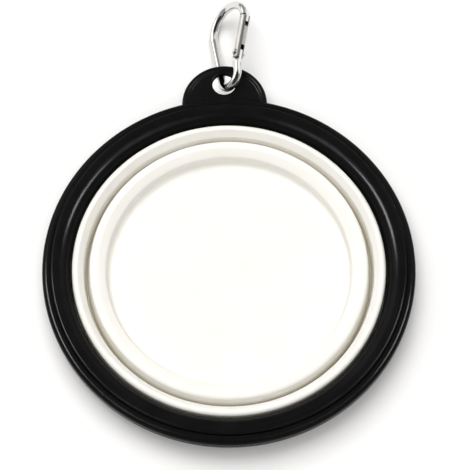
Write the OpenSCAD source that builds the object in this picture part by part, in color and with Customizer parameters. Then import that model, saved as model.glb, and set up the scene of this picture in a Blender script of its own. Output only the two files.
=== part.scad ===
// Collapsible travel bowl with a hanging tab and a small snap hook, folded flat.
// Z is up, Y points to the tab, and the origin is the centre of the base's underside.
// All lengths are in millimetres and all angles in degrees.

/* [Rim] */
// Outside diameter of the rim bead
rim_d = 130; // [115:1:150]
// Height of the folded bowl, from the table to the crown of the rim band
folded_h = 13; // [12:0.1:15]
// Width of the outer bead, from its outside to the seam
bead_w = 3.1; // [2.8:0.1:4]
// Height of the outer bead
bead_h = 5.4; // [4.8:0.1:6.2]
// How far the crown of the bead lies below the crown of the band
bead_drop = 1.1; // [0.6:0.1:1.8]
// Radius of the bead's outer crown
bead_crown_r = 2.1; // [1.2:0.1:2.2]
// Width of the ledge that carries the band
ledge_w = 1.8; // [1:0.1:2.4]
// Thickness of that ledge
ledge_t = 1.9; // [1.2:0.1:2.6]
// Width of the soft band on top of the rim
band_w = 6.4; // [6.4:0.1:7]
// Radius of the band's outer shoulder
band_outer_r = 0.9; // [0.8:0.1:1.5]
// Radius of the broad roll on the band's inner side
band_inner_r = 4.8; // [4:0.1:4.8]
// Thickness of the upper wall at its lower edge
upper_wall_t = 1.7; // [1.2:0.1:2.2]
// How far the upper wall leans inward on its way down
upper_wall_lean = 0.1; // [0.1:0.05:0.4]

/* [Folding tiers] */
// Thickness of the thin fold webs
web_t = 1.1; // [0.8:0.05:1.3]
// How far the upper web leans inward on its way up
upper_web_lean = 0.3; // [0.1:0.05:0.6]
// How far the lower web leans inward on its way up
lower_web_lean = 1.15; // [0.8:0.05:1.4]
// Width of the valley at the foot of each fold
valley_w = 0.4; // [0.3:0.05:0.8]
// Height above the table at which walls pass into folds
hinge_z = 2.3; // [2.1:0.1:2.8]
// Width of the ridge's crown on the middle ring
upper_ridge_w = 1.95; // [1.7:0.05:2.3]
// Width of the slope inside that crown
upper_slope_w = 1.95; // [1.6:0.05:2.2]
// Drop of that slope
upper_slope_drop = 2.4; // [1.8:0.1:2.8]
// Drop from the rim's crown to the middle ring's ridge
upper_ridge_drop = 2.6; // [2.2:0.1:3.2]
// Width of the ridge's crown on the base cup
lower_ridge_w = 2.8; // [2.4:0.1:3]
// Width of the slope inside that crown
lower_slope_w = 2.8; // [2.4:0.1:3.2]
// Drop of that slope
lower_slope_drop = 1.9; // [1.4:0.1:2.4]
// Drop from the middle ring's ridge to the base cup's ridge
lower_ridge_drop = 0.9; // [0.5:0.1:1.6]
// Wall of the middle ring
ring_t = 1.8; // [1.4:0.1:2.2]
// How far the middle ring leans inward on its way down
ring_lean = 0.6; // [0.4:0.1:1]
// Height of each ridge's head above its shoulder
ridge_head_h = 1.5; // [1.3:0.1:1.8]

/* [Base cup] */
// Thickness of the floor
floor_t = 3.4; // [2.6:0.1:4]
// How far the cup's inside leans inward from the slope to the floor
cup_lean = 0.6; // [0.4:0.1:1.2]
// Wall of the cup at its foot
cup_foot_t = 2.4; // [1.8:0.1:2.8]
// Radius of the corner between cup wall and floor
floor_fillet_r = 0.9; // [0.5:0.1:1.4]

/* [Hanging tab] */
// Radius of the round tab
tab_r = 15.4; // [14.8:0.1:17]
// How far the tab's centre lies inside the rim's outside
tab_inset = 1.7; // [1:0.1:4]
// Thickness of the tab at its border
tab_t = 3.2; // [3:0.1:3.6]
// Drop from the rim's crown to the tab's border
tab_drop = 1.8; // [1.5:0.1:2.4]
// Depth of the recessed face inside the border
tab_recess = 0.8; // [0.4:0.1:1]
// Width of the border's flat and slope
tab_border_w = 2.4; // [2:0.1:3]
// Diameter of the hole for the hook
hole_d = 8.5; // [8:0.1:9]
// Distance from the tab's centre out to the hole's centre
hole_out = 8.1; // [7:0.1:8.4]
// Radius of the hole's rounded lips
hole_lip_r = 0.6; // [0.3:0.1:0.8]

/* [Snap hook] */
// Overall length of the hook
hook_len = 36.8; // [36:0.1:38]
// Diameter of the hook's rod
rod_d = 3.1; // [2.8:0.1:3.2]
// Centreline radius of the small bend that sits in the tab
small_bend_r = 4.5; // [4.4:0.05:4.6]
// Centreline radius of the large bend
large_bend_r = 9.2; // [9:0.05:9.4]
// Bend of the rod's leg towards the gate's foot
leg_kink = 18.9; // [17:0.1:20]
// Turn of the hook to the side, as it lies
hook_turn = -11.4; // [-20:0.1:10]
// Rise of the hook towards its far end, as it lies
hook_pitch = 9.4; // [8.8:0.1:10]
// Distance from the hole's centre to the small bend, along the tab
bend_back = 1.25; // [1.1:0.05:1.4]
// Height of the small bend above the tab's underside
bend_rise = 1.55; // [1.4:0.05:1.7]

/* [Gate] */
// Diameter of the gate
gate_d = 3.8; // [3.4:0.1:3.9]
// Height of the gate's pivot above the small bend
pivot_y = 12.8; // [12:0.1:14]
// Length of the gate's tail below its pivot
gate_tail = 1.7; // [1.4:0.1:1.8]
// Diameter of the pivot rivet's shank
rivet_d = 1.2; // [1:0.05:1.4]
// Radius of the rivet's domed heads
rivet_head_r = 1; // [0.8:0.05:1.2]
// Diameter of the latch pin
latch_pin_d = 0.8; // [0.6:0.05:0.9]
// Thickness of the flat tongues at the rod's ends
tongue_t = 1.1; // [0.9:0.05:1.2]
// Bore for spring and plunger
gate_bore_d = 1.7; // [1.5:0.05:1.9]
// Length of the spring's seat in the bore
spring_len = 4; // [3:0.1:5]
// Turns of the gate spring
spring_turns = 5; // [3:1:6]
// Wire of the gate spring
spring_wire_d = 0.25; // [0.2:0.01:0.3]

/* [Hidden] */
$fn = 128;

// Clearances
soft_gap = 0.3;
table_gap = 0.03;
pin_clear = 0.02;
pivot_clear = 0.04;
slot_clear = 0.2;
bore_clear = 0.1;
overlap = 0.5;
cut = 1;

// Rim, from the outside in
rim_r = rim_d / 2;
seam_r = rim_r - bead_w;
ledge_r = seam_r - ledge_w;
band_in_r = seam_r - band_w;
bead_top = folded_h - bead_drop;
bead_low = bead_top - bead_h;
bead_lip_r = 0.7;
bead_foot_r = 1;
ledge_top = bead_low + ledge_t;
upper_wall_in = band_in_r - upper_wall_lean;
band_inner_sweep = 86;

// Folding tiers, each stepping inward from the wall before it
upper_web_foot = upper_wall_in - valley_w;
upper_web_head = upper_web_foot - upper_web_lean;
upper_ridge_z = folded_h - upper_ridge_drop;
upper_shoulder_z = upper_ridge_z - ridge_head_h;
ring_top_in = upper_web_head - upper_ridge_w - upper_slope_w;
ring_in = ring_top_in - ring_lean;
lower_web_foot = ring_in - valley_w;
lower_web_head = lower_web_foot - lower_web_lean;
lower_ridge_z = upper_ridge_z - lower_ridge_drop;
lower_shoulder_z = lower_ridge_z - ridge_head_h;
ridge_crown_r = 1.3;
ridge_lip_r = 0.6;

// Base cup
cup_top_in = lower_web_head - lower_ridge_w - lower_slope_w;
cup_slope_z = lower_ridge_z - lower_slope_drop;
floor_r = cup_top_in - cup_lean;
foot_r = floor_r + cup_foot_t;
foot_edge_r = 0.8;

// Hanging tab
tab_y = rim_r - tab_inset;
tab_top = folded_h - tab_drop;
tab_low = tab_top - tab_t;
tab_floor = tab_top - tab_recess;
tab_edge_r = 1.2;
tab_foot_r = 0.8;
border_slope_w = 0.9;
hole_y = tab_y + hole_out;
tab_root_r = rim_r - bead_w / 2;

// Snap hook, drawn flat with X across, Y along and its small bend at the origin.
// It leans with its small bend in the tab's hole and its large bend on the table.
rod_r = rod_d / 2;
leg_step = 0.04;
leg_d = rod_d - leg_step;
leg_root = 0.3;
gate_r = gate_d / 2;
shoulder_gap = 0.5;
gate_low = pivot_y - gate_tail;
tail_reach = norm([gate_r, gate_tail]);
shoulder_y = pivot_y - tail_reach - shoulder_gap;
leg_foot = small_bend_r * [cos(leg_kink), 1 + sin(leg_kink)];
leg_len = (shoulder_y - leg_foot.y) / cos(leg_kink);
gate_x = leg_foot.x - leg_len * sin(leg_kink);
large_y = hook_len - rod_d - large_bend_r;
large_x = gate_x - large_bend_r;
bend_step = [large_x, large_y - small_bend_r];
spine_len = sqrt(bend_step * bend_step - pow(large_bend_r - small_bend_r, 2));
spine_tilt = atan2(bend_step.y, bend_step.x)
    + acos((small_bend_r - large_bend_r) / norm(bend_step)) - 180;
hook_side = 1.27;
hook_z = tab_low + bend_rise;

// Lean at which the large bend just clears the table: the rise of the hook's X axis
// is the root of a quadratic
y_rise = sin(hook_pitch);
bend_drop = hook_z - rod_r - table_gap + large_y * y_rise;
lean_a = pow(large_bend_r, 2) - pow(large_x, 2);
lean_b = -2 * bend_drop * large_x;
lean_c = pow(large_bend_r * y_rise, 2) - pow(bend_drop, 2);
x_rise = (sqrt(lean_b * lean_b - 4 * lean_a * lean_c) - lean_b) / (2 * lean_a);
hook_lean = asin(x_rise / cos(hook_pitch));

// Gate and latch
nose_rise = 4;
nose_y = large_y + nose_rise;
nose_gap = 0.9;
gate_top = nose_y - nose_gap;
slot_w = tongue_t + 2 * slot_clear;
tongue_in = 1.1;
tongue_out = 1.6;
tongue_rise = 1.3;
tongue_top = pivot_y + tongue_rise;
tongue_len = tongue_top - shoulder_y + overlap;
pivot_slot_room = 1.9;
pivot_slot_top = tongue_top + pivot_slot_room;
latch_pin_inset = 0.25;
latch_pin_drop = 1;
latch_pin_x = gate_x - latch_pin_inset;
latch_pin_y = gate_top - latch_pin_drop;
latch_clear = 0.15;
latch_lip = 0.75;
latch_notch_r = latch_pin_d / 2 + latch_clear;
latch_tongue_in = 0.9;
latch_tongue_low = latch_pin_y - latch_notch_r - latch_lip;
latch_tongue_len = nose_y - latch_tongue_low + overlap;
latch_slot_room = 1.9;
latch_slot_low = latch_tongue_low - latch_slot_room;
rivet_sink = 0.25;
rivet_seat = gate_r - rivet_sink;
plunger_gap = 0.15;
plunger_len = 3;
plunger_low = tongue_top + plunger_gap;
plunger_top = plunger_low + plunger_len;
spring_seat = plunger_top + spring_len;
spring_r = gate_bore_d / 2 - bore_clear - spring_wire_d / 2;
spring_steps = 8;
spring_sides = 6;

// Points of an arc about c, from angle a to angle b
function arc(c, r, a, b, n = 8) =
    [for (i = [0 : n]) c + r * [cos(a + (b - a) * i / n), sin(a + (b - a) * i / n)]];

// Outline of the rigid frame: the bead with the ledge inside it
function frame_outline() = concat(
    [[ledge_r, ledge_top], [ledge_r, bead_low]],
    arc([rim_r - bead_foot_r, bead_low + bead_foot_r], bead_foot_r, -90, 0, 6),
    arc([rim_r - bead_crown_r, bead_top - bead_crown_r], bead_crown_r, 0, 90),
    arc([seam_r + bead_lip_r, bead_top - bead_lip_r], bead_lip_r, 90, 180, 6),
    [[seam_r, ledge_top]]
);

// Outline of the soft band with the upper wall that hangs from it
function band_outline() = concat(
    [[ledge_r, bead_low], [ledge_r, ledge_top], [seam_r, ledge_top]],
    arc([seam_r - band_outer_r, folded_h - band_outer_r], band_outer_r, 0, 90),
    arc([band_in_r + band_inner_r, folded_h - band_inner_r], band_inner_r, 90, 90 + band_inner_sweep),
    [[upper_wall_in, hinge_z], [upper_wall_in + upper_wall_t, hinge_z]]
);

// Outline of a fold: a turn under the outer wall, then a thin web up to a shoulder
function fold_outline(wall_in, wall_t, foot, head, shoulder_z) =
    let (
        top = shoulder_z - soft_gap,
        inner_foot = foot - web_t,
        turn_r = (wall_in + wall_t - inner_foot) / 2,
        valley_r = (wall_in - foot) / 2
    )
    concat(
        arc([inner_foot + turn_r, hinge_z], turn_r, 180, 360, 12),
        arc([foot + valley_r, hinge_z], valley_r, 0, -180, 6),
        [[head, top], [head - web_t, top]]
    );

// Rounded head of a ridge, from its outer shoulder over its crown and down its inner slope
function ridge_head(outer, width, slope_w, slope_drop, z) =
    let (
        slope = atan2(slope_drop, slope_w),
        crown_in = outer - width
    )
    concat(
        [[outer, z - ridge_head_h]],
        arc([outer - ridge_crown_r, z - ridge_crown_r], ridge_crown_r, 0, 90),
        arc([crown_in + ridge_lip_r * tan(slope / 2), z - ridge_lip_r], ridge_lip_r, 90, 90 + slope, 5),
        [[crown_in - slope_w, z - slope_drop]]
    );

function ring_outline() = concat(
    ridge_head(upper_web_head, upper_ridge_w, upper_slope_w, upper_slope_drop, upper_ridge_z),
    [
        [ring_in, hinge_z],
        [ring_in + ring_t, hinge_z],
        [upper_web_head - web_t - soft_gap, upper_shoulder_z]
    ]
);

function cup_outline() =
    let (
        slope = atan2(cup_slope_z - floor_t, cup_top_in - floor_r),
        reach = floor_fillet_r * tan(slope / 2)
    )
    concat(
        ridge_head(lower_web_head, lower_ridge_w, lower_slope_w, lower_slope_drop, lower_ridge_z),
        arc([floor_r - reach, floor_t + floor_fillet_r], floor_fillet_r, slope - 90, -90),
        [[0, floor_t], [0, 0]],
        arc([foot_r - foot_edge_r, foot_edge_r], foot_edge_r, -90, 0, 6),
        [[lower_web_head - web_t - soft_gap, lower_shoulder_z]]
    );

// Outline of the tab about its own centre: flat underside, rounded rim, sloped border, recess
function tab_outline() = concat(
    [[0, tab_floor], [0, tab_low]],
    arc([tab_r - tab_foot_r, tab_low + tab_foot_r], tab_foot_r, -90, 0, 6),
    arc([tab_r - tab_edge_r, tab_top - tab_edge_r], tab_edge_r, 0, 90),
    [[tab_r - tab_border_w + border_slope_w, tab_top], [tab_r - tab_border_w, tab_floor]]
);

// Cutter for the hook's hole, flared at both faces by the lips' radius
function hole_outline() =
    let (r = hole_d / 2, out = r + hole_lip_r)
    concat(
        [[0, tab_low - cut], [out, tab_low - cut]],
        arc([out, tab_low + hole_lip_r], hole_lip_r, 270, 180, 6),
        arc([out, tab_floor - hole_lip_r], hole_lip_r, 180, 90, 6),
        [[out, tab_floor + cut], [0, tab_floor + cut]]
    );

module tab() {
    difference() {
        translate([0, tab_y, 0]) rotate_extrude() polygon(tab_outline());
        translate([0, 0, tab_low - cut]) cylinder(r = tab_root_r, h = tab_t + 2 * cut);
    }
}

module rim_frame() {
    color("#17171a")
    difference() {
        union() {
            tab();
            rotate_extrude() polygon(frame_outline());
        }
        translate([0, hole_y, 0]) rotate_extrude() polygon(hole_outline());
    }
}

module rim_band() {
    color("#1e1e22") rotate_extrude() polygon(band_outline());
}

module upper_fold() {
    color("#f3f1ec")
    rotate_extrude()
    polygon(fold_outline(upper_wall_in, upper_wall_t, upper_web_foot, upper_web_head, upper_shoulder_z));
}

module middle_ring() {
    color("#f6f4ef") rotate_extrude() polygon(ring_outline());
}

module lower_fold() {
    color("#f3f1ec")
    rotate_extrude()
    polygon(fold_outline(ring_in, ring_t, lower_web_foot, lower_web_head, lower_shoulder_z));
}

module base_cup() {
    color("#f8f6f2") rotate_extrude() polygon(cup_outline());
}

// Puts a flat-drawn hook piece where it lies: small bend in the hole, large bend on the table
module lay_hook() {
    translate([hook_side, hole_y - bend_back, hook_z])
    rotate([hook_pitch, 0, hook_turn])
    rotate([0, -hook_lean, 0])
    children();
}

// Part of a bent rod about centre c, from angle a to angle b
module rod_bend(c, r, a, b) {
    translate(c)
    rotate(a)
    rotate_extrude(angle = b - a)
    translate([r, 0])
    circle(d = rod_d);
}

// The straight legs are a hair thinner than the bends and run a little way into them
module hook_rod() {
    rod_bend([0, small_bend_r, 0], small_bend_r, 180 + spine_tilt, 360 + leg_kink);
    rod_bend([large_x, large_y, 0], large_bend_r, 0, 180 + spine_tilt);
    translate(leg_foot)
    rotate(leg_kink)
    translate([0, -leg_root, 0])
    rotate([-90, 0, 0])
    cylinder(d = leg_d, h = leg_len + leg_root);
    translate([0, small_bend_r, 0])
    rotate(180 + spine_tilt)
    translate([small_bend_r, leg_root, 0])
    rotate([90, 0, 0])
    cylinder(d = leg_d, h = spine_len + 2 * leg_root);
}

// A flat tongue in the hook's plane, given by its lower corner and size
module tongue(corner, size) {
    translate([corner.x, corner.y, -tongue_t / 2]) cube([size.x, size.y, tongue_t]);
}

// A hole across the hook's plane
module cross_hole(at, d) {
    translate([at.x, at.y, -gate_d]) cylinder(d = d, h = 2 * gate_d);
}

module latch_notch() {
    cross_hole([latch_pin_x, latch_pin_y], 2 * latch_notch_r);
    translate([latch_pin_x - gate_d, latch_pin_y - latch_notch_r, -gate_d])
    cube([gate_d, 2 * latch_notch_r, 2 * gate_d]);
}

module hook_body() {
    color("#c9ccd1")
    lay_hook()
    difference() {
        union() {
            difference() {
                hook_rod();
                translate([0, large_y - cut, -gate_d])
                cube([large_bend_r, nose_y - large_y + cut, 2 * gate_d]);
            }
            tongue([gate_x - tongue_in, shoulder_y - overlap], [tongue_in + tongue_out, tongue_len]);
            tongue([gate_x - latch_tongue_in, latch_tongue_low], [latch_tongue_in + tongue_out, latch_tongue_len]);
        }
        cross_hole([gate_x, pivot_y], rivet_d + 2 * pin_clear);
        latch_notch();
    }
}

module hook_gate() {
    color("#d3d5d9")
    lay_hook()
    difference() {
        translate([gate_x, gate_low, 0]) rotate([-90, 0, 0]) cylinder(d = gate_d, h = gate_top - gate_low);
        translate([gate_x - gate_d, gate_low - cut, -slot_w / 2])
        cube([2 * gate_d, pivot_slot_top - gate_low + cut, slot_w]);
        translate([gate_x - gate_d, latch_slot_low, -slot_w / 2])
        cube([2 * gate_d, gate_top - latch_slot_low + cut, slot_w]);
        translate([gate_x, gate_low, 0])
        rotate([-90, 0, 0])
        cylinder(d = gate_bore_d, h = spring_seat - gate_low);
        cross_hole([gate_x, pivot_y], rivet_d + 2 * pivot_clear);
        cross_hole([latch_pin_x, latch_pin_y], latch_pin_d + 2 * pin_clear);
        for (side = [-1, 1])
            translate([gate_x, pivot_y, side * (rivet_seat + gate_r)])
            cylinder(r = rivet_head_r + slot_clear, h = 2 * gate_r, center = true);
    }
}

module pivot_rivet() {
    head_z = rivet_seat + pivot_clear;
    color("#b9bcc2")
    lay_hook()
    translate([gate_x, pivot_y, 0]) {
        cylinder(d = rivet_d, h = 2 * head_z, center = true);
        for (side = [0, 1])
            mirror([0, 0, side])
            translate([0, 0, head_z])
            intersection() {
                sphere(r = rivet_head_r);
                cylinder(r = rivet_head_r, h = rivet_head_r);
            }
    }
}

module latch_pin() {
    pin_len = 2 * sqrt(gate_r * gate_r - pow(gate_x - latch_pin_x + latch_pin_d / 2, 2));
    color("#b9bcc2")
    lay_hook()
    translate([latch_pin_x, latch_pin_y, 0])
    cylinder(d = latch_pin_d, h = pin_len, center = true);
}

// Centre of the spring's wire, and the wire's outline there, part u of the way along
function spring_point(u) =
    let (
        a = 360 * spring_turns * u,
        rise = spring_len - spring_wire_d - 2 * pin_clear
    )
    [spring_r * cos(a), spring_r * sin(a), spring_wire_d / 2 + pin_clear + rise * u];
function spring_ring(u) = [
    for (k = [0 : spring_sides - 1])
        let (
            a = 360 * spring_turns * u,
            b = 360 * k / spring_sides,
            w = spring_wire_d / 2
        )
        spring_point(u) + w * [cos(b) * cos(a), cos(b) * sin(a), sin(b)]
];

module gate_spring() {
    last = spring_turns * spring_steps;
    s = spring_sides;
    points = [for (i = [0 : last]) each spring_ring(i / last)];
    sides = [
        for (i = [0 : last - 1], k = [0 : s - 1])
            let (p = i * s + k, q = i * s + (k + 1) % s)
            each [[p, p + s, q], [q, p + s, q + s]]
    ];
    near = [for (k = [1 : s - 2]) [0, k, k + 1]];
    far = [for (k = [1 : s - 2]) [last * s, last * s + k + 1, last * s + k]];
    pitches = [
        for (i = [0 : last - spring_steps])
            norm(spring_point((i + spring_steps) / last) - spring_point(i / last))
    ];
    echo(spring_gap = min(pitches) - spring_wire_d);
    color("#9a9ca0")
    lay_hook()
    translate([gate_x, plunger_top, 0])
    rotate([-90, 0, 0])
    polyhedron(points, concat(near, sides, far));
}

module spring_plunger() {
    color("#b0a070")
    lay_hook()
    translate([gate_x, plunger_low, 0])
    rotate([-90, 0, 0])
    cylinder(d = gate_bore_d - 2 * bore_clear, h = plunger_len);
}

rim_frame();
rim_band();
upper_fold();
middle_ring();
lower_fold();
base_cup();
hook_body();
hook_gate();
pivot_rivet();
latch_pin();
gate_spring();
spring_plunger();
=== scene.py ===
# %% [markdown]
# # A folding travel bowl with a snap hook
#
# The bowl lies folded flat: a black rim with a hanging tab, two white silicone
# ridges nested inside it, and a small metal snap hook in the tab's hole. The solids
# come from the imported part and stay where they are. This script dresses them: each
# moulded or bent piece gets a finer mesh, each finish its own material, and then
# come the floor, the lights and the camera.

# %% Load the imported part
import math

import bmesh
import bpy
import numpy as np
from mathutils import Matrix, Vector


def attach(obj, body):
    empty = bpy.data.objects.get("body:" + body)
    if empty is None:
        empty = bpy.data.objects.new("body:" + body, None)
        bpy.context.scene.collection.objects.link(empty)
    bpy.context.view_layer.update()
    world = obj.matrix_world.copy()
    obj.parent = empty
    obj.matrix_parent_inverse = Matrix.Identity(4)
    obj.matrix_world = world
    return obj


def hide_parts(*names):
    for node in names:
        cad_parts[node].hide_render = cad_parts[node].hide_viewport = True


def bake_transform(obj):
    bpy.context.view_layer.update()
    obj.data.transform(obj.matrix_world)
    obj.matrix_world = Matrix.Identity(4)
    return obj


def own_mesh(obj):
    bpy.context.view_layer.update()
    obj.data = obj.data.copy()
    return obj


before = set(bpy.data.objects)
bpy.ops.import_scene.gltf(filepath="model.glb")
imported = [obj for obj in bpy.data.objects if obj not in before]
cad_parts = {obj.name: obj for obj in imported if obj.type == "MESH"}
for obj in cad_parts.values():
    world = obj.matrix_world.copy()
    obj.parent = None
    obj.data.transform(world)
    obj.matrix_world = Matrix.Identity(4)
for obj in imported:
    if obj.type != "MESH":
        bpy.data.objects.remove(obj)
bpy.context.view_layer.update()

MM = 0.001
scene = bpy.context.scene
print("nodes:", ", ".join(sorted(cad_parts)))

# %% [markdown]
# ## The camera
#
# The bowl was photographed from steeply above with a long lens, so its round rim
# shows as an ellipse that is only a little flattened. A camera can be aimed with a
# constraint, but here its matrix is written out from an elevation, a small turn and
# a small roll, so that the picture is the same on every run.

# %% Place the camera
CAMERA_AIM = Vector((2.02, 11.76, 9.21)) * MM
CAMERA_REACH = 0.6
CAMERA_ELEVATION = math.radians(66.54)
CAMERA_ROLL = math.radians(0.45)
CAMERA_TURN = math.radians(-1.92)
LENS_MM = 130.82
SENSOR_MM = 36.0
NEAREST, FARTHEST = 0.01, 50

toward = Vector((0, math.cos(CAMERA_ELEVATION), -math.sin(CAMERA_ELEVATION)))
level_up = Vector((0, math.sin(CAMERA_ELEVATION), math.cos(CAMERA_ELEVATION)))
level_right = Vector((1, 0, 0))
right = math.cos(CAMERA_ROLL) * level_right + math.sin(CAMERA_ROLL) * level_up
up = math.cos(CAMERA_ROLL) * level_up - math.sin(CAMERA_ROLL) * level_right
place = CAMERA_AIM - toward * CAMERA_REACH
stand = Matrix((
    (right.x, up.x, -toward.x, place.x),
    (right.y, up.y, -toward.y, place.y),
    (right.z, up.z, -toward.z, place.z),
    (0, 0, 0, 1),
))

camera_data = bpy.data.cameras.new("camera")
camera_data.lens = LENS_MM
camera_data.sensor_width = SENSOR_MM
camera_data.clip_start = NEAREST
camera_data.clip_end = FARTHEST
camera = bpy.data.objects.new("camera", camera_data)
scene.collection.objects.link(camera)
camera.matrix_world = Matrix.Rotation(CAMERA_TURN, 4, "Z") @ stand
scene.camera = camera
print("camera at mm:", [round(c / MM) for c in camera.matrix_world.translation])

# %% [markdown]
# ## Floor and light
#
# The picture is a product shot in a light tent: a pale floor that burns out, one large
# soft light high behind the bowl that shades the white slopes, a weaker one before it,
# and a strip at each side that draws the long streaks on the black rim. Area lights
# stand for all of these, because their size sets the length of the streaks and the
# softness of the shadows. The large ones are kept out of reflections and the strips out
# of diffuse light, so that shading and streaks can be set apart from each other. The
# strips light the black pieces alone, and two white cards stand in the metal's mirror.
#
# Two more things belong to the picture. The dark camera shows as a streak on the bright
# hook, and a black disc behind the lens stands for it. And the paper under the tab's hole
# is painted with light: it glows a little where the tab covers it, and only there, so that
# it is as white as the rest instead of lying in the tab's shade.

# %% Helpers for node materials
def new_material(name):
    """An empty node material with a Principled shader, and its node tree."""
    material = bpy.data.materials.new(name)
    material.use_nodes = True
    return material, material.node_tree, material.node_tree.nodes["Principled BSDF"]


def object_noise(tree, scale, detail=3.0, stretch=(1, 1, 1)):
    """Noise in the object's own coordinates, so that it stays on a moving piece."""
    place = tree.nodes.new("ShaderNodeTexCoord")
    mapping = tree.nodes.new("ShaderNodeMapping")
    mapping.inputs["Scale"].default_value = stretch
    noise = tree.nodes.new("ShaderNodeTexNoise")
    noise.inputs["Scale"].default_value = scale
    noise.inputs["Detail"].default_value = detail
    tree.links.new(place.outputs["Object"], mapping.inputs["Vector"])
    tree.links.new(mapping.outputs["Vector"], noise.inputs["Vector"])
    return noise


def colour_between(tree, noise, low, high, start=0.3, end=0.7):
    """A colour that wanders between two tones with the noise."""
    ramp = tree.nodes.new("ShaderNodeValToRGB")
    ramp.color_ramp.elements[0].position = start
    ramp.color_ramp.elements[0].color = (*low, 1)
    ramp.color_ramp.elements[1].position = end
    ramp.color_ramp.elements[1].color = (*high, 1)
    tree.links.new(noise.outputs["Fac"], ramp.inputs["Fac"])
    return ramp.outputs["Color"]


def value_between(tree, noise, low, high):
    """A number that wanders between two values with the noise."""
    spread = tree.nodes.new("ShaderNodeMapRange")
    spread.inputs["From Min"].default_value = 0.3
    spread.inputs["From Max"].default_value = 0.7
    spread.inputs["To Min"].default_value = low
    spread.inputs["To Max"].default_value = high
    tree.links.new(noise.outputs["Fac"], spread.inputs["Value"])
    return spread.outputs["Result"]


def add_bump(tree, shader, noise, strength, depth_mm):
    """Fine relief from the noise, as deep as the given millimetres."""
    bump = tree.nodes.new("ShaderNodeBump")
    bump.inputs["Strength"].default_value = strength
    bump.inputs["Distance"].default_value = depth_mm * MM
    tree.links.new(noise.outputs["Fac"], bump.inputs["Height"])
    tree.links.new(bump.outputs["Normal"], shader.inputs["Normal"])


# %% Floor
FLOOR_R = 4.0
FLOOR_DROP = 0.05 * MM
# Painted light under the tab's hole: its centre, its reach and its strength.
SPOT_AT = Vector((0, 75.6, 0)) * MM
SPOT_R = 10 * MM
PAINTED_LIGHT_STRENGTH = 0.45
COVER_NEAR = 18 * MM
COVER_FULL = 0.6

floor_paint, tree, shader = new_material("floor_paper")
clouds = object_noise(tree, 6.0)
tree.links.new(
    colour_between(tree, clouds, (0.90, 0.90, 0.895), (0.92, 0.92, 0.915)),
    shader.inputs["Base Color"],
)
shader.inputs["Roughness"].default_value = 0.9
shader.inputs["Specular IOR Level"].default_value = 0.1
# Painted light: the paper glows near the hole where the tab covers it closely, lifting the tab's
# shade.
place = tree.nodes.new("ShaderNodeTexCoord")
from_spot = tree.nodes.new("ShaderNodeVectorMath")
from_spot.operation = "DISTANCE"
from_spot.inputs[1].default_value = SPOT_AT
painted_light_spot = tree.nodes.new("ShaderNodeMapRange")
painted_light_spot.interpolation_type = "SMOOTHSTEP"
painted_light_spot.inputs["From Min"].default_value = SPOT_R
painted_light_spot.inputs["From Max"].default_value = SPOT_R / 2
painted_light_spot.inputs["To Max"].default_value = PAINTED_LIGHT_STRENGTH
covered = tree.nodes.new("ShaderNodeAmbientOcclusion")
covered.inputs["Distance"].default_value = COVER_NEAR
covered.samples = 16
cover = tree.nodes.new("ShaderNodeMapRange")
cover.inputs["From Min"].default_value = 1.0
cover.inputs["From Max"].default_value = COVER_FULL
painted_light = tree.nodes.new("ShaderNodeMath")
painted_light.operation = "MULTIPLY"
tree.links.new(place.outputs["Object"], from_spot.inputs[0])
tree.links.new(from_spot.outputs["Value"], painted_light_spot.inputs["Value"])
tree.links.new(covered.outputs["AO"], cover.inputs["Value"])
tree.links.new(painted_light_spot.outputs["Result"], painted_light.inputs[0])
tree.links.new(cover.outputs["Result"], painted_light.inputs[1])
tree.links.new(painted_light.outputs["Value"], shader.inputs["Emission Strength"])
shader.inputs["Emission Color"].default_value = (1, 1, 1, 1)

floor_mesh = bmesh.new()
bmesh.ops.create_circle(floor_mesh, cap_ends=True, segments=96, radius=FLOOR_R)
floor_data = bpy.data.meshes.new("floor")
floor_mesh.to_mesh(floor_data)
floor_mesh.free()
floor = bpy.data.objects.new("floor", floor_data)
floor.location.z = -FLOOR_DROP
floor.data.materials.append(floor_paint)
scene.collection.objects.link(floor)
print("floor radius in m:", FLOOR_R)

# %% Lights
BOWL_MIDDLE = Vector((0, 10, 8)) * MM


def soft_box(name, turn, rise, reach, size, watts, tint):
    """A rectangular light that faces the bowl. Turn 0 is the right, 90 the far side."""
    data = bpy.data.lights.new(name, "AREA")
    data.shape = "RECTANGLE"
    data.size, data.size_y = size
    data.energy = watts
    data.color = tint
    light = bpy.data.objects.new(name, data)
    turn, rise = math.radians(turn), math.radians(rise)
    level = math.cos(rise)
    away = Vector((math.cos(turn) * level, math.sin(turn) * level, math.sin(rise)))
    light.location = BOWL_MIDDLE + away * reach
    light.rotation_mode = "QUATERNION"
    light.rotation_quaternion = away.to_track_quat("Z", "Y")
    light.visible_camera = False
    scene.collection.objects.link(light)
    return light


for large in (
    soft_box("light_behind", 118, 68, 1.2, (1.0, 1.0), 11.8, (1, 0.995, 0.985)),
    soft_box("light_before", -90, 62, 1.2, (0.7, 0.8), 3.8, (1, 0.99, 0.97)),
):
    large.visible_glossy = False
strips = (
    soft_box("strip_left", 193, 51, 0.85, (0.9, 0.26), 52.0, (1, 1, 1)),
    soft_box("strip_right", -25, 52, 0.85, (0.9, 0.26), 46.0, (1, 1, 1)),
)
black_pieces = bpy.data.collections.new("black_pieces")
for strip in strips:
    strip.visible_diffuse = False
    strip.light_linking.receiver_collection = black_pieces
for card in (
    soft_box("card_left", 142, 32, 1.0, (1.0, 0.8), 3.6, (1, 1, 1)),
    soft_box("card_right", 38, 32, 1.0, (1.0, 0.8), 2.0, (1, 1, 1)),
):
    card.visible_diffuse = False

# %% Lens shade
LENS_SHADE_R = 0.65
BEHIND_LENS = 0.03

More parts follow.
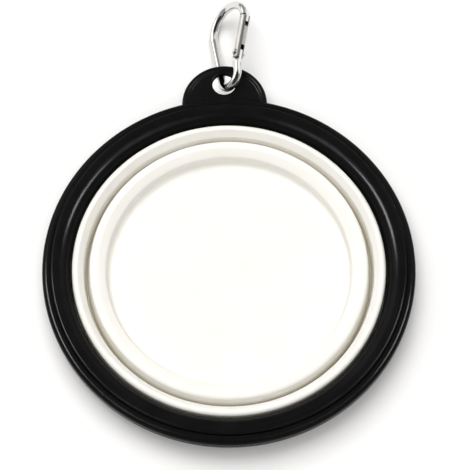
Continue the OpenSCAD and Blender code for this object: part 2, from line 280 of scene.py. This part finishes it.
shade_mesh = bmesh.new()
bmesh.ops.create_circle(shade_mesh, cap_ends=True, segments=48, radius=LENS_SHADE_R)
shade_data = bpy.data.meshes.new("lens_shade")
shade_mesh.to_mesh(shade_data)
shade_mesh.free()
shade = bpy.data.objects.new("lens_shade", shade_data)
shade.matrix_world = camera.matrix_world @ Matrix.Translation((0, 0, BEHIND_LENS))
shade_paint, tree, shader = new_material("lens_black")
lens_tone = colour_between(
    tree, object_noise(tree, 8.0), (0.004, 0.004, 0.004), (0.008, 0.008, 0.008)
)
tree.links.new(lens_tone, shader.inputs["Base Color"])
shade.data.materials.append(shade_paint)
shade.visible_camera = False
shade.visible_diffuse = False
shade.visible_shadow = False
scene.collection.objects.link(shade)
print("lens shade radius in m:", LENS_SHADE_R)

# %% Room light
ROOM_LIGHT = 0.37

room = bpy.data.worlds.new("room")
room.use_nodes = True
room.node_tree.nodes["Background"].inputs["Color"].default_value = (1, 0.99, 0.98, 1)
room.node_tree.nodes["Background"].inputs["Strength"].default_value = ROOM_LIGHT
scene.world = room
scene.view_settings.view_transform = "Standard"
scene.view_settings.look = "None"
print("room light:", ROOM_LIGHT)

# %% [markdown]
# ## Sections and turning
#
# Rim, ridges and cup were all moulded round one axis. Each can be a Screw modifier on
# a curve, but a section written as corners with a fillet at each is closer to how such
# a mould is drawn. The corners below are radius, height and fillet in millimetres.

# %% Round the corners of a section
FILLET_STEP = math.radians(7.5)


def rounded(corners):
    """A closed outline from corners (r, z) or (r, z, fillet)."""
    outline = []
    for i, corner in enumerate(corners):
        here = np.array(corner[:2], float)
        if len(corner) < 3:
            outline.append(here)
            continue
        back = np.array(corners[i - 1][:2], float) - here
        on = np.array(corners[(i + 1) % len(corners)][:2], float) - here
        back, on = back / np.linalg.norm(back), on / np.linalg.norm(on)
        half = math.acos(np.clip(back @ on, -1, 1)) / 2
        middle = back + on
        centre = here + middle / np.linalg.norm(middle) * corner[2] / math.sin(half)
        arm = here + back * corner[2] / math.tan(half) - centre
        far = here + on * corner[2] / math.tan(half) - centre
        sweep = math.atan2(arm[0] * far[1] - arm[1] * far[0], arm @ far)
        steps = max(2, math.ceil(abs(sweep) / FILLET_STEP))
        for k in range(steps + 1):
            c, s = math.cos(sweep * k / steps), math.sin(sweep * k / steps)
            outline.append(centre + np.array((arm[0] * c - arm[1] * s, arm[0] * s + arm[1] * c)))
    return outline


def divided(outline, longest):
    """The same outline with no side longer than the given length."""
    fine = []
    for here, on in zip(outline, outline[1:] + outline[:1]):
        parts = max(1, math.ceil(np.linalg.norm(on - here) / longest))
        fine += [here + (on - here) * k / parts for k in range(parts)]
    return fine


# %% Turn a section into a mesh
TURN_STEPS = 320
SHARP = math.radians(38)


def mesh_object(name, verts, faces):
    """A smooth-shaded object from points in millimetres, with its faces turned outward."""
    data = bpy.data.meshes.new(name)
    data.from_pydata([tuple(c * MM for c in v) for v in verts], [], faces)
    shell = bmesh.new()
    shell.from_mesh(data)
    bmesh.ops.recalc_face_normals(shell, faces=shell.faces)
    shell.to_mesh(data)
    shell.free()
    data.shade_smooth()
    data.set_sharp_from_angle(angle=SHARP)
    made = bpy.data.objects.new(name, data)
    scene.collection.objects.link(made)
    return made


def turned(name, outline, steps=TURN_STEPS, centre=(0, 0)):
    """The outline turned once round an upright axis through centre."""
    verts, rows = [], []
    for r, z in outline:
        if r < 1e-6:
            rows.append([len(verts)] * steps)
            verts.append((centre[0], centre[1], z))
            continue
        rows.append(range(len(verts), len(verts) + steps))
        for i in range(steps):
            a = 2 * math.pi * i / steps
            verts.append((centre[0] + r * math.cos(a), centre[1] + r * math.sin(a), z))
    faces = []
    for row, following in zip(rows, rows[1:] + rows[:1]):
        for i in range(steps):
            j = (i + 1) % steps
            ring = list(dict.fromkeys((row[i], row[j], following[j], following[i])))
            if len(ring) > 2:
                faces.append(ring)
    return mesh_object(name, verts, faces)


# %% [markdown]
# ## Silicone and black rim
#
# The white body is soft silicone: smooth, a little translucent, with a faint warm
# tone where light goes in and comes out again. Deep in its grooves its colour goes over to
# a darker, warmer painted shade, placed by ambient occlusion where faces are close by.
# The rim is black all over, a satin plastic frame with a softer band inside it. Neither is
# one flat tone, so slow noise moves the colour and the gloss a little, and a fine noise
# gives the moulded skin.

# %% A tone with painted shade in crevices
def painted_crevice_shade(tree, shader, tone, dark, near_mm, deep, open_at):
    """The tone, going over to the dark colour as painted shade where other faces are close by."""
    crevice = tree.nodes.new("ShaderNodeAmbientOcclusion")
    crevice.inputs["Distance"].default_value = near_mm * MM
    crevice.samples = 8
    open_share = tree.nodes.new("ShaderNodeMapRange")
    open_share.inputs["From Min"].default_value = deep
    open_share.inputs["From Max"].default_value = open_at
    mixed = tree.nodes.new("ShaderNodeMix")
    mixed.data_type = "RGBA"
    mixed.inputs["A"].default_value = (*dark, 1)
    tree.links.new(crevice.outputs["AO"], open_share.inputs["Value"])
    tree.links.new(open_share.outputs["Result"], mixed.inputs["Factor"])
    tree.links.new(tone, mixed.inputs["B"])
    tree.links.new(mixed.outputs["Result"], shader.inputs["Base Color"])


# %% White silicone
silicone, tree, shader = new_material("white_silicone")
white = colour_between(
    tree, object_noise(tree, 55.0), (0.88, 0.862, 0.815), (0.905, 0.89, 0.85)
)
# Painted shade: the white goes darker and warmer deep in the grooves.
painted_crevice_shade(
    tree, shader, white, dark=(0.70, 0.66, 0.54), near_mm=2.4, deep=0.10, open_at=0.45
)
gloss = value_between(tree, object_noise(tree, 140.0), 0.40, 0.50)
tree.links.new(gloss, shader.inputs["Roughness"])
add_bump(tree, shader, object_noise(tree, 2600.0, 2.0), 0.12, 0.02)
shader.inputs["IOR"].default_value = 1.41
shader.inputs["Specular IOR Level"].default_value = 0.15
shader.inputs["Subsurface Weight"].default_value = 0.3
shader.inputs["Subsurface Radius"].default_value = (1.0, 1.0, 0.95)
shader.inputs["Subsurface Scale"].default_value = 0.0018
print("made", silicone.name)


# %% Two black finishes
COOL = 1.05


def black_finish(name, tone, rough, skin_scale, skin):
    """A black moulding: its tone, the range of its roughness and the skin's grain."""
    material, tree, shader = new_material(name)
    low, high = ((grey, grey, grey * COOL) for grey in tone)
    black = colour_between(tree, object_noise(tree, 120.0), low, high)
    gloss = value_between(tree, object_noise(tree, 260.0), *rough)
    tree.links.new(black, shader.inputs["Base Color"])
    tree.links.new(gloss, shader.inputs["Roughness"])
    add_bump(tree, shader, object_noise(tree, skin_scale, 2.0), skin, 0.015)
    shader.inputs["IOR"].default_value = 1.12
    print("made", name)
    return material


frame_black = black_finish("satin_black_frame", (0.0045, 0.006), (0.14, 0.19), 2200.0, 0.06)
band_black = black_finish("soft_black_band", (0.0045, 0.0065), (0.15, 0.20), 3000.0, 0.08)

# %% [markdown]
# ## The rim frame and its tab
#
# The rigid frame is a bead with a ledge inside it, moulded in one with the hanging
# tab. The bead is turned from its section. The tab is turned about its own centre,
# because its border is round too, and then both are joined and the hook's hole is cut
# with flared lips. Boolean modifiers do the joining, since the real frame is one piece.


# %% Join and cut meshes
def combined(target, tool, operation):
    """Joins or cuts target with tool, keeps the result in target and removes tool."""
    step = target.modifiers.new(operation, "BOOLEAN")
    step.operation = operation
    step.object = tool
    step.solver = "EXACT"
    ready = target.evaluated_get(bpy.context.evaluated_depsgraph_get())
    result = bpy.data.meshes.new_from_object(ready)
    target.modifiers.clear()
    target.data = result
    bpy.data.objects.remove(tool)
    return target


def settle(piece, sharp=SHARP):
    """Smooth shading that keeps hard edges and flat faces as they are."""
    piece.data.shade_smooth()
    piece.data.set_sharp_from_angle(angle=sharp)
    weighted = piece.modifiers.new("flat_faces", "WEIGHTED_NORMAL")
    weighted.keep_sharp = True
    return piece


def dress(piece, material, slot, *nodes):
    """Gives a piece its finish and hides the solids that it stands for; its slot is not used."""
    piece.data.materials.clear()
    piece.data.materials.append(material)
    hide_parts(*nodes)
    print("made", piece.name, "with", len(piece.data.vertices), "points")
    return piece


# %% Frame
SEAM_R = 61.9
RIM_R = 65.0
LEDGE_IN = 60.1
BEAD_LOW, LEDGE_TOP, BEAD_TOP = 6.5, 8.4, 11.9
TAB_Y = 63.3
TAB_R = 15.4
TAB_LOW, TAB_FLOOR, TAB_TOP = 8.0, 10.4, 11.2
TAB_ROOT_R = 63.45
HOLE_Y, HOLE_R, HOLE_LIP = 71.4, 4.25, 0.6
CUT_OVER = 1.0

bead_section = rounded([
    (LEDGE_IN, LEDGE_TOP), (LEDGE_IN, BEAD_LOW, 0.15), (RIM_R, BEAD_LOW, 1.0),
    (RIM_R, BEAD_TOP, 2.1), (SEAM_R, BEAD_TOP, 0.7), (SEAM_R, LEDGE_TOP),
])
tab_section = rounded([
    (0, TAB_FLOOR), (0, TAB_LOW), (TAB_R, TAB_LOW, 0.8), (TAB_R, TAB_TOP, 1.2),
    (13.9, TAB_TOP, 0.75), (13.0, TAB_FLOOR, 0.6),
])
cut_low, cut_high, lip_r = TAB_LOW - CUT_OVER, TAB_TOP + CUT_OVER, HOLE_R + HOLE_LIP
hole_section = rounded([
    (0, cut_low), (lip_r, cut_low), (lip_r, TAB_LOW), (HOLE_R, TAB_LOW, HOLE_LIP),
    (HOLE_R, TAB_FLOOR, HOLE_LIP), (lip_r, TAB_FLOOR), (lip_r, cut_high), (0, cut_high),
])
root_section = rounded([(0, cut_low), (TAB_ROOT_R, cut_low), (TAB_ROOT_R, cut_high), (0, cut_high)])
rim_frame = turned("rim_frame_moulding", divided(bead_section, 1.5))
tab = turned("tab", tab_section, 192, (0, TAB_Y))
combined(tab, turned("tab_root", root_section), "DIFFERENCE")
combined(rim_frame, tab, "UNION")
combined(rim_frame, turned("hook_hole", hole_section, 128, (0, HOLE_Y)), "DIFFERENCE")
settle(rim_frame)
dress(rim_frame, frame_black, "frame_black", "rim_frame")
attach(rim_frame, "rim")
black_pieces.objects.link(rim_frame)

# %% [markdown]
# ## The rim band
#
# The softer band crowns the rim and runs down as the upper wall. At its foot the wall
# turns under into the first fold. Only the outer half of that turn belongs here: the
# inner half is white and has to bend, so it goes with the fold.

# %% Band
HINGE_Z = 2.3
CROWN_TOP, CROWN_IN = 13.0, 55.5
UPPER_WALL_IN, UPPER_WALL_T = 55.4, 1.7
WEB_T = 1.1
VALLEY_W = 0.4


def quarter(centre, radius, start, end):
    """Points of an arc about centre, between two angles in degrees."""
    count = max(2, math.ceil(abs(end - start) / math.degrees(FILLET_STEP)))
    angles = np.radians(np.linspace(start, end, count + 1))
    return [np.array(centre) + radius * np.array((math.cos(a), math.sin(a))) for a in angles]


def turn_under(wall_in, wall_t):
    """Centre and radius of the fold's outside turn, and of the valley inside it."""
    inner = wall_in - VALLEY_W - WEB_T
    radius = (wall_in + wall_t - inner) / 2
    return (inner + radius, HINGE_Z), radius, (wall_in - VALLEY_W / 2, HINGE_Z), VALLEY_W / 2


under, under_r, valley, valley_r = turn_under(UPPER_WALL_IN, UPPER_WALL_T)
crown = rounded([
    (LEDGE_IN, BEAD_LOW, 0.6), (LEDGE_IN, LEDGE_TOP), (SEAM_R, LEDGE_TOP),
    (SEAM_R, CROWN_TOP, 0.9), (CROWN_IN, CROWN_TOP, 4.75),
    (UPPER_WALL_IN, HINGE_Z), (UPPER_WALL_IN + UPPER_WALL_T, HINGE_Z),
])
band_section = (
    crown[:-1] + quarter(valley, valley_r, 0, -90)[1:] + quarter(under, under_r, -90, 0)
)
rim_band = turned("rim_band_moulding", divided(band_section, 1.5))
dress(rim_band, band_black, "band_black", "rim_band")
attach(rim_band, "rim")
black_pieces.objects.link(rim_band)

# %% [markdown]
# ## Folds, middle ring and base cup
#
# On the real bowl these are one white moulding. Its thick rings keep their shape, and
# the thin webs between them turn over when the bowl is pushed open. A shape key could
# show that, but the pieces have to follow the joints; here each web is simply a mesh of
# its own.

# %% Fold webs
HIDDEN_HEAD, HEAD_PLAY = 0.4, 0.02


def fold_web(name, wall_in, wall_t, head_r, shoulder_z):
    """The inner half of the turn and the thin web up to the next ring's shoulder."""
    under, under_r, valley, valley_r = turn_under(wall_in, wall_t)
    head_in, head_out, head_top = head_r - WEB_T, head_r - HEAD_PLAY, shoulder_z + HIDDEN_HEAD
    head = rounded([
        (head_in, shoulder_z), (head_in, head_top), (head_out, head_top), (head_out, shoulder_z),
    ])
    section = quarter(under, under_r, -90, -180) + head + quarter(valley, valley_r, -180, -90)
    web = turned(name, divided(section, 0.35))
    return web, under[1] - under_r


UPPER_SHOULDER_Z, LOWER_SHOULDER_Z = 8.9, 8.0
RIDGE_1_OUT, RIDGE_2_OUT = 54.7, 48.65
RING_IN, RING_T = 50.2, 1.8

upper_web, upper_foot_z = fold_web(
    "upper_fold_web", UPPER_WALL_IN, UPPER_WALL_T, RIDGE_1_OUT, UPPER_SHOULDER_Z
)
dress(upper_web, silicone, "silicone_white", "upper_fold")
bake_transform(upper_web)

lower_web, lower_foot_z = fold_web(
    "lower_fold_web", RING_IN, RING_T, RIDGE_2_OUT, LOWER_SHOULDER_Z
)
dress(lower_web, silicone, "silicone_white", "lower_fold")
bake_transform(lower_web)

# %% Middle ring
RIDGE_1_TOP, RING_SHOULDER_IN = 10.4, 53.3

under, under_r, valley, valley_r = turn_under(RING_IN, RING_T)
ring_head = rounded([
    (RING_SHOULDER_IN, UPPER_SHOULDER_Z), (RIDGE_1_OUT, UPPER_SHOULDER_Z),
    (RIDGE_1_OUT, RIDGE_1_TOP, 1.3), (52.75, RIDGE_1_TOP, 0.7), (50.8, 8.0, 0.4),
    (RING_IN, HINGE_Z), (RING_IN + RING_T, HINGE_Z),
])
ring_section = (
    ring_head[:-1] + quarter(valley, valley_r, 0, -90)[1:] + quarter(under, under_r, -90, 0)
)
middle_ring = turned("middle_ring_moulding", divided(ring_section, 1.0))
dress(middle_ring, silicone, "silicone_white", "middle_ring")
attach(middle_ring, "middle")

# %% Base cup
RIDGE_2_TOP, FLOOR_TOP = 9.5, 3.4
CUP_SHOULDER_IN, CUP_FOOT_R = 47.25, 44.85

cup_section = rounded([
    (CUP_SHOULDER_IN, LOWER_SHOULDER_Z), (RIDGE_2_OUT, LOWER_SHOULDER_Z),
    (RIDGE_2_OUT, RIDGE_2_TOP, 1.3), (45.85, RIDGE_2_TOP, 0.9), (43.05, 7.6, 1.2),
    (42.45, FLOOR_TOP, 1.4), (0, FLOOR_TOP), (0, 0), (CUP_FOOT_R, 0, 0.8),
])
base_cup = turned("base_cup_moulding", divided(cup_section, 1.5))
dress(base_cup, silicone, "silicone_white", "base_cup")
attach(base_cup, "base")

# %% [markdown]
# ## The snap hook
#
# The hook is a bent rod with a small bend in the tab and a large bend at its far end.
# Under the gate its leg turns inward, so that gate and spine part towards the far end.
# It is drawn flat first, X across, Y along and Z through it, and then laid down by
# one matrix: small bend in the hole, large bend on the table. How far it leans over
# follows from these two, as the root of a quadratic.

# %% Lay the hook
SMALL_R, LARGE_R = 4.5, 9.2
HOOK_LEN, ROD_R = 36.8, 1.55
LEG_KINK = math.radians(18.9)
PIVOT_Y, GATE_R, GATE_TAIL = 12.8, 1.9, 1.7
SHOULDER_GAP = 0.5
SHOULDER_Y = PIVOT_Y - math.hypot(GATE_R, GATE_TAIL) - SHOULDER_GAP
BEND_RISE, TABLE_GAP = 1.55, 0.03
HOOK_SIDE, BEND_BACK = 1.27, 1.25
HOOK_TURN, HOOK_PITCH = math.radians(-11.4), math.radians(9.4)

leg_foot = SMALL_R * np.array((math.cos(LEG_KINK), 1 + math.sin(LEG_KINK)))
GATE_X = leg_foot[0] - (SHOULDER_Y - leg_foot[1]) * math.tan(LEG_KINK)
large_y = HOOK_LEN - 2 * ROD_R - LARGE_R
large_x = GATE_X - LARGE_R
spine_angle = math.atan2(large_y - SMALL_R, large_x) + math.acos(
    (SMALL_R - LARGE_R) / math.hypot(large_x, large_y - SMALL_R)
)

hook_z = TAB_LOW + BEND_RISE
y_rise = math.sin(HOOK_PITCH)
bend_drop = hook_z - ROD_R - TABLE_GAP + large_y * y_rise
lean_a = LARGE_R ** 2 - large_x ** 2
lean_b = -2 * bend_drop * large_x
lean_c = (LARGE_R * y_rise) ** 2 - bend_drop ** 2
x_rise = (math.sqrt(lean_b ** 2 - 4 * lean_a * lean_c) - lean_b) / (2 * lean_a)
hook_lean = math.asin(x_rise / math.cos(HOOK_PITCH))
lay = (
    Matrix.Translation(Vector((HOOK_SIDE, HOLE_Y - BEND_BACK, hook_z)) * MM)
    @ Matrix.Rotation(HOOK_TURN, 4, "Z")
    @ Matrix.Rotation(HOOK_PITCH, 4, "X")
    @ Matrix.Rotation(-hook_lean, 4, "Y")
)
print("hook leans by", round(math.degrees(hook_lean), 1), "degrees")


def laid(piece):
    """Lays a flat-drawn piece of the hook where it belongs, in its mesh."""
    piece.data.transform(lay)
    return piece


# %% [markdown]
# ## Polished metal
#
# Nickel plate over steel: bright, with fine lines along the rod from polishing. The
# lines are a noise stretched along one direction that moves the roughness, and a very
# slight bump breaks the reflections the way a barrel-polished rod does.


# %% Metal finishes
def metal_finish(name, low, high, rough, lines=(1, 1, 1), relief=0.05):
    """A bare metal: two close tones, painted crevice shade, its range of roughness and polishing
    lines.
    """
    material, tree, shader = new_material(name)
    tone = colour_between(tree, object_noise(tree, 180.0), low, high)
    # Painted shade: the tone goes over to near black in slots, gaps and other crevices.
    painted_crevice_shade(
        tree, shader, tone, dark=(0.01, 0.01, 0.01), near_mm=2.2, deep=0.35, open_at=0.80
    )
    polish = value_between(tree, object_noise(tree, 700.0, 4.0, lines), *rough)
    tree.links.new(polish, shader.inputs["Roughness"])
    add_bump(tree, shader, object_noise(tree, 500.0, 2.0, lines), relief, 0.03)
    shader.inputs["Metallic"].default_value = 1.0
    print("made", name)
    return material


nickel = metal_finish(
    "polished_nickel", (0.70, 0.69, 0.67), (0.78, 0.77, 0.75), (0.04, 0.10), lines=(1, 0.15, 1)
)
satin_nickel = metal_finish(
    "satin_nickel", (0.60, 0.585, 0.55), (0.66, 0.645, 0.61), (0.34, 0.44),
    lines=(1, 0.1, 1), relief=0.1,
)
plain_steel = metal_finish("plain_steel", (0.55, 0.55, 0.56), (0.64, 0.64, 0.65), (0.2, 0.32))
spring_wire = metal_finish("spring_wire", (0.40, 0.40, 0.41), (0.50, 0.50, 0.51), (0.25, 0.38))
turned_brass = metal_finish("turned_brass", (0.10, 0.07, 0.03), (0.16, 0.11, 0.05), (0.30, 0.42))

# %% [markdown]
# ## The bent rod
#
# A curve with a round bevel would give the rod, but its end at the gate is cut square
# to the gate and not to the bend. So the rod is swept here ring by ring along its
# centre line, and the last rings are slid along the rod until they lie in the cut.

# %% Sweep the rod
ROD_SIDES = 48
BEND_STEP = math.radians(3)
NOSE_PAST_BEND = 4.0
NOSE_Y = large_y + NOSE_PAST_BEND
END_ROUND = ((0.0, 1.0), (0.10, 0.985), (0.19, 0.94), (0.25, 0.86))


def arc_line(centre, radius, start, end):
    """Points and directions along an arc of the centre line, in the hook's plane."""
    count = max(2, math.ceil(abs(end - start) / BEND_STEP))
    way = 1 if end > start else -1
    return [
        (np.array((centre[0] + radius * math.cos(a), centre[1] + radius * math.sin(a))),
         way * np.array((-math.sin(a), math.cos(a))))
        for a in np.linspace(start, end, count + 1)
    ]


nose_angle = math.asin(NOSE_PAST_BEND / LARGE_R)
line = [(np.array((GATE_X, SHOULDER_Y)), np.array((math.sin(LEG_KINK), -math.cos(LEG_KINK))))]
line += arc_line((0, SMALL_R), SMALL_R, 2 * math.pi + LEG_KINK, spine_angle)
line += arc_line((large_x, large_y), LARGE_R, spine_angle, nose_angle)


def swept_rod(name, line, radius, cut_y):
    """A round rod along the line, its first end rounded and its last end cut at cut_y."""
    rings = []
    first, first_way = line[0]
    for depth, share in reversed(END_ROUND):
        rings.append((first - first_way * (depth - END_ROUND[-1][0]), first_way, share))
    rings += [(point, way, 1.0) for point, way in line[1:]]
    verts = []
    for point, way, share in rings:
        side = np.array((way[1], -way[0]))
        for k in range(ROD_SIDES):
            a = 2 * math.pi * k / ROD_SIDES
            flat = point + side * radius * share * math.cos(a)
            verts.append((*flat, radius * share * math.sin(a)))
    last_way = rings[-1][1]
    for k in range(len(verts) - ROD_SIDES, len(verts)):
        slide = (cut_y - verts[k][1]) / last_way[1]
        verts[k] = (verts[k][0] + last_way[0] * slide, cut_y, verts[k][2])
    count = len(rings)
    faces = [
        (i * ROD_SIDES + k, i * ROD_SIDES + (k + 1) % ROD_SIDES,
         (i + 1) * ROD_SIDES + (k + 1) % ROD_SIDES, (i + 1) * ROD_SIDES + k)
        for i in range(count - 1) for k in range(ROD_SIDES)
    ]
    faces.append(tuple(range(ROD_SIDES)))
    faces.append(tuple(range((count - 1) * ROD_SIDES, count * ROD_SIDES)))
    return mesh_object(name, verts, faces)


hook_body = swept_rod("hook_rod", line, ROD_R, NOSE_Y)
print("rod rings:", len(line))

# %% [markdown]
# ## Tongues, gate and pins
#
# The rod ends in two flat tongues. The lower one carries the rivet on which the gate
# turns, and the upper one catches the gate's cross pin in a notch. The gate is a short
# rod, slotted at both ends to straddle the tongues. Plates and slots start as plain
# blocks, are joined or cut, and a narrow bevel then breaks every edge.

# %% Blocks, holes and bevels
CUT = 3.0


def block(low, high):
    """A box between two corners, as a tool for joining and cutting."""
    corners = [
        (x, y, z)
        for x in (low[0], high[0]) for y in (low[1], high[1]) for z in (low[2], high[2])
    ]
    sides = [(0, 1, 3, 2), (4, 6, 7, 5), (0, 4, 5, 1), (2, 3, 7, 6), (0, 2, 6, 4), (1, 5, 7, 3)]
    return mesh_object("block", corners, sides)


def round_hole(centre, radius):
    """A plain cutter right through the hook's plane."""
    section = rounded([(0, -CUT), (radius, -CUT), (radius, CUT), (0, CUT)])
    return turned("hole", section, 64, centre)


def broken_edges(piece, width_mm):
    """A narrow bevel on each hard edge."""
    bevel = piece.modifiers.new("broken_edges", "BEVEL")
    bevel.width = width_mm * MM
    bevel.segments = 2
    bevel.limit_method = "ANGLE"
    bevel.angle_limit = math.radians(40)
    return settle(piece)


# %% Hook body
TONGUE_T, TONGUE_IN, TONGUE_OUT, TONGUE_RISE = 1.1, 1.1, 1.6, 1.3
TONGUE_TOP = PIVOT_Y + TONGUE_RISE
TONGUE_ROOT = 0.5
NOSE_GAP = 0.9
GATE_TOP = NOSE_Y - NOSE_GAP
LATCH_INSET, LATCH_DROP = 0.25, 1.0
LATCH_X, LATCH_Y = GATE_X - LATCH_INSET, GATE_TOP - LATCH_DROP
LATCH_PIN_R, LATCH_CLEAR, LATCH_LIP, LATCH_IN = 0.4, 0.15, 0.75, 0.9
NOTCH_R = LATCH_PIN_R + LATCH_CLEAR
LATCH_LOW = LATCH_Y - NOTCH_R - LATCH_LIP
RIVET_R, PIN_PLAY = 0.6, 0.02
half_t = TONGUE_T / 2

combined(hook_body, block(
    (GATE_X - TONGUE_IN, SHOULDER_Y - TONGUE_ROOT, -half_t),
    (GATE_X + TONGUE_OUT, TONGUE_TOP, half_t),
), "UNION")
combined(hook_body, block(
    (GATE_X - LATCH_IN, LATCH_LOW, -half_t),
    (GATE_X + TONGUE_OUT, NOSE_Y + TONGUE_ROOT, half_t),
), "UNION")
combined(hook_body, round_hole((GATE_X, PIVOT_Y), RIVET_R + PIN_PLAY), "DIFFERENCE")
combined(hook_body, round_hole((LATCH_X, LATCH_Y), NOTCH_R), "DIFFERENCE")
combined(hook_body, block(
    (LATCH_X - CUT, LATCH_Y - NOTCH_R, -CUT), (LATCH_X, LATCH_Y + NOTCH_R, CUT)
), "DIFFERENCE")
laid(hook_body)
broken_edges(hook_body, 0.08)
dress(hook_body, nickel, "hook_metal", "hook_body")
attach(hook_body, "hook")

# %% Gate
GATE_LOW, GATE_EDGE = PIVOT_Y - GATE_TAIL, 0.25
SLOT_CLEAR, SLOT_ROOM = 0.2, 1.9
SLOT_HALF = half_t + SLOT_CLEAR
PIVOT_SLOT_TOP, LATCH_SLOT_LOW = TONGUE_TOP + SLOT_ROOM, LATCH_LOW - SLOT_ROOM
BORE_R = 0.85
PLUNGER_GAP, PLUNGER_LEN, SPRING_LEN = 0.15, 3.0, 4.0
PLUNGER_LOW = TONGUE_TOP + PLUNGER_GAP
PLUNGER_TOP = PLUNGER_LOW + PLUNGER_LEN
SPRING_SEAT = PLUNGER_TOP + SPRING_LEN
RIVET_SINK, RIVET_PLAY = 0.25, 0.04
RIVET_SEAT = GATE_R - RIVET_SINK
HEAD_R, HEAD_CLEAR = 1.0, 0.2

along_gate = (
    Matrix.Translation(Vector((GATE_X, 0, 0)) * MM) @ Matrix.Rotation(math.radians(-90), 4, "X")
)


def gate_turned(name, section, steps=64):
    """A section turned about the gate's own axis, heights counted along the gate."""
    bar = turned(name, section, steps)
    bar.data.transform(along_gate)
    return bar


gate = gate_turned("hook_gate_bar", rounded([
    (0, GATE_LOW), (GATE_R, GATE_LOW, GATE_EDGE), (GATE_R, GATE_TOP, GATE_EDGE), (0, GATE_TOP),
]))
for slot_low, slot_top in ((GATE_LOW - CUT, PIVOT_SLOT_TOP), (LATCH_SLOT_LOW, GATE_TOP + CUT)):
    combined(gate, block(
        (GATE_X - CUT, slot_low, -SLOT_HALF), (GATE_X + CUT, slot_top, SLOT_HALF)
    ), "DIFFERENCE")
combined(gate, gate_turned("bore", rounded([
    (0, GATE_LOW), (BORE_R, GATE_LOW), (BORE_R, SPRING_SEAT), (0, SPRING_SEAT),
])), "DIFFERENCE")
combined(gate, round_hole((GATE_X, PIVOT_Y), RIVET_R + RIVET_PLAY), "DIFFERENCE")
combined(gate, round_hole((LATCH_X, LATCH_Y), LATCH_PIN_R + PIN_PLAY), "DIFFERENCE")
for side in (-1, 1):
    seat_r, seat_low, seat_high = HEAD_R + HEAD_CLEAR, side * RIVET_SEAT, side * CUT
    seat = rounded([(0, seat_low), (seat_r, seat_low), (seat_r, seat_high), (0, seat_high)])
    combined(gate, turned("seat", seat, 64, (GATE_X, PIVOT_Y)), "DIFFERENCE")
laid(gate)
broken_edges(gate, 0.06)
dress(gate, satin_nickel, "hook_metal", "hook_gate")
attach(gate, "gate")

# %% Rivet and latch pin
head_z = RIVET_SEAT + RIVET_PLAY
dome = quarter((0, head_z), HEAD_R, 0, 90)[:-1]
half_section = [np.array((RIVET_R, head_z))] + dome + [np.array((0, head_z + HEAD_R))]
rivet_section = [np.array((r, -z)) for r, z in reversed(half_section)] + half_section
rivet = laid(turned("pivot_rivet_domed", rivet_section, 64, (GATE_X, PIVOT_Y)))
settle(rivet)
dress(rivet, plain_steel, "rivet_steel", "pivot_rivet")
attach(rivet, "hook")

PIN_EDGE = 0.1
pin_half = math.sqrt(GATE_R ** 2 - (LATCH_INSET + LATCH_PIN_R) ** 2)
latch_pin = laid(turned("latch_cross_pin", rounded([
    (0, -pin_half), (LATCH_PIN_R, -pin_half, PIN_EDGE),
    (LATCH_PIN_R, pin_half, PIN_EDGE), (0, pin_half),
]), 48, (LATCH_X, LATCH_Y)))
settle(latch_pin)
dress(latch_pin, plain_steel, "rivet_steel", "latch_pin")
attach(latch_pin, "gate")

# %% [markdown]
# ## Plunger and spring
#
# Inside the gate a small spring pushes a plunger against the lower tongue, and that
# shuts the gate. They hardly show, but they are real pieces, so the plunger gets its
# rounded ends and the spring its round wire. As the gate opens on the real hook, the
# tongue drives the plunger back and squashes the spring towards its seat; the spring
# here keeps its length.

# %% Plunger
BORE_CLEAR, PLUNGER_EDGE = 0.1, 0.12
PLUNGER_R = BORE_R - BORE_CLEAR
plunger = laid(gate_turned("spring_plunger_pin", rounded([
    (0, PLUNGER_LOW), (PLUNGER_R, PLUNGER_LOW, PLUNGER_EDGE),
    (PLUNGER_R, PLUNGER_TOP, PLUNGER_EDGE), (0, PLUNGER_TOP),
]), 48))
settle(plunger)
dress(plunger, turned_brass, "plunger_brass", "spring_plunger")
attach(plunger, "plunger")

# %% Spring
WIRE_R, SPRING_TURNS = 0.125, 5
SPRING_R = PLUNGER_R - WIRE_R
SPRING_PLAY = 0.02
WIRE_SIDES, TURN_POINTS = 12, 40
spring_low = PLUNGER_TOP + WIRE_R + SPRING_PLAY
spring_rise = SPRING_LEN - 2 * (WIRE_R + SPRING_PLAY)
coil, links = [], []
points = SPRING_TURNS * TURN_POINTS + 1
for i in range(points):
    share = i / (points - 1)
    a = 2 * math.pi * SPRING_TURNS * share
    out = np.array((math.cos(a), math.sin(a), 0))
    middle = out * SPRING_R + np.array((0, 0, spring_low + spring_rise * share))
    for k in range(WIRE_SIDES):
        b = 2 * math.pi * k / WIRE_SIDES
        coil.append(tuple(middle + WIRE_R * (out * math.cos(b) + np.array((0, 0, math.sin(b))))))
for i in range(points - 1):
    for k in range(WIRE_SIDES):
        p, q = i * WIRE_SIDES + k, i * WIRE_SIDES + (k + 1) % WIRE_SIDES
        links.append((p, q, q + WIRE_SIDES, p + WIRE_SIDES))
links.append(tuple(range(WIRE_SIDES)))
links.append(tuple(range((points - 1) * WIRE_SIDES, points * WIRE_SIDES)))
spring = mesh_object("gate_spring_coil", coil, links)
spring.data.transform(along_gate)
laid(spring)
dress(spring, spring_wire, "spring_steel", "gate_spring")
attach(spring, "gate")
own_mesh(spring)
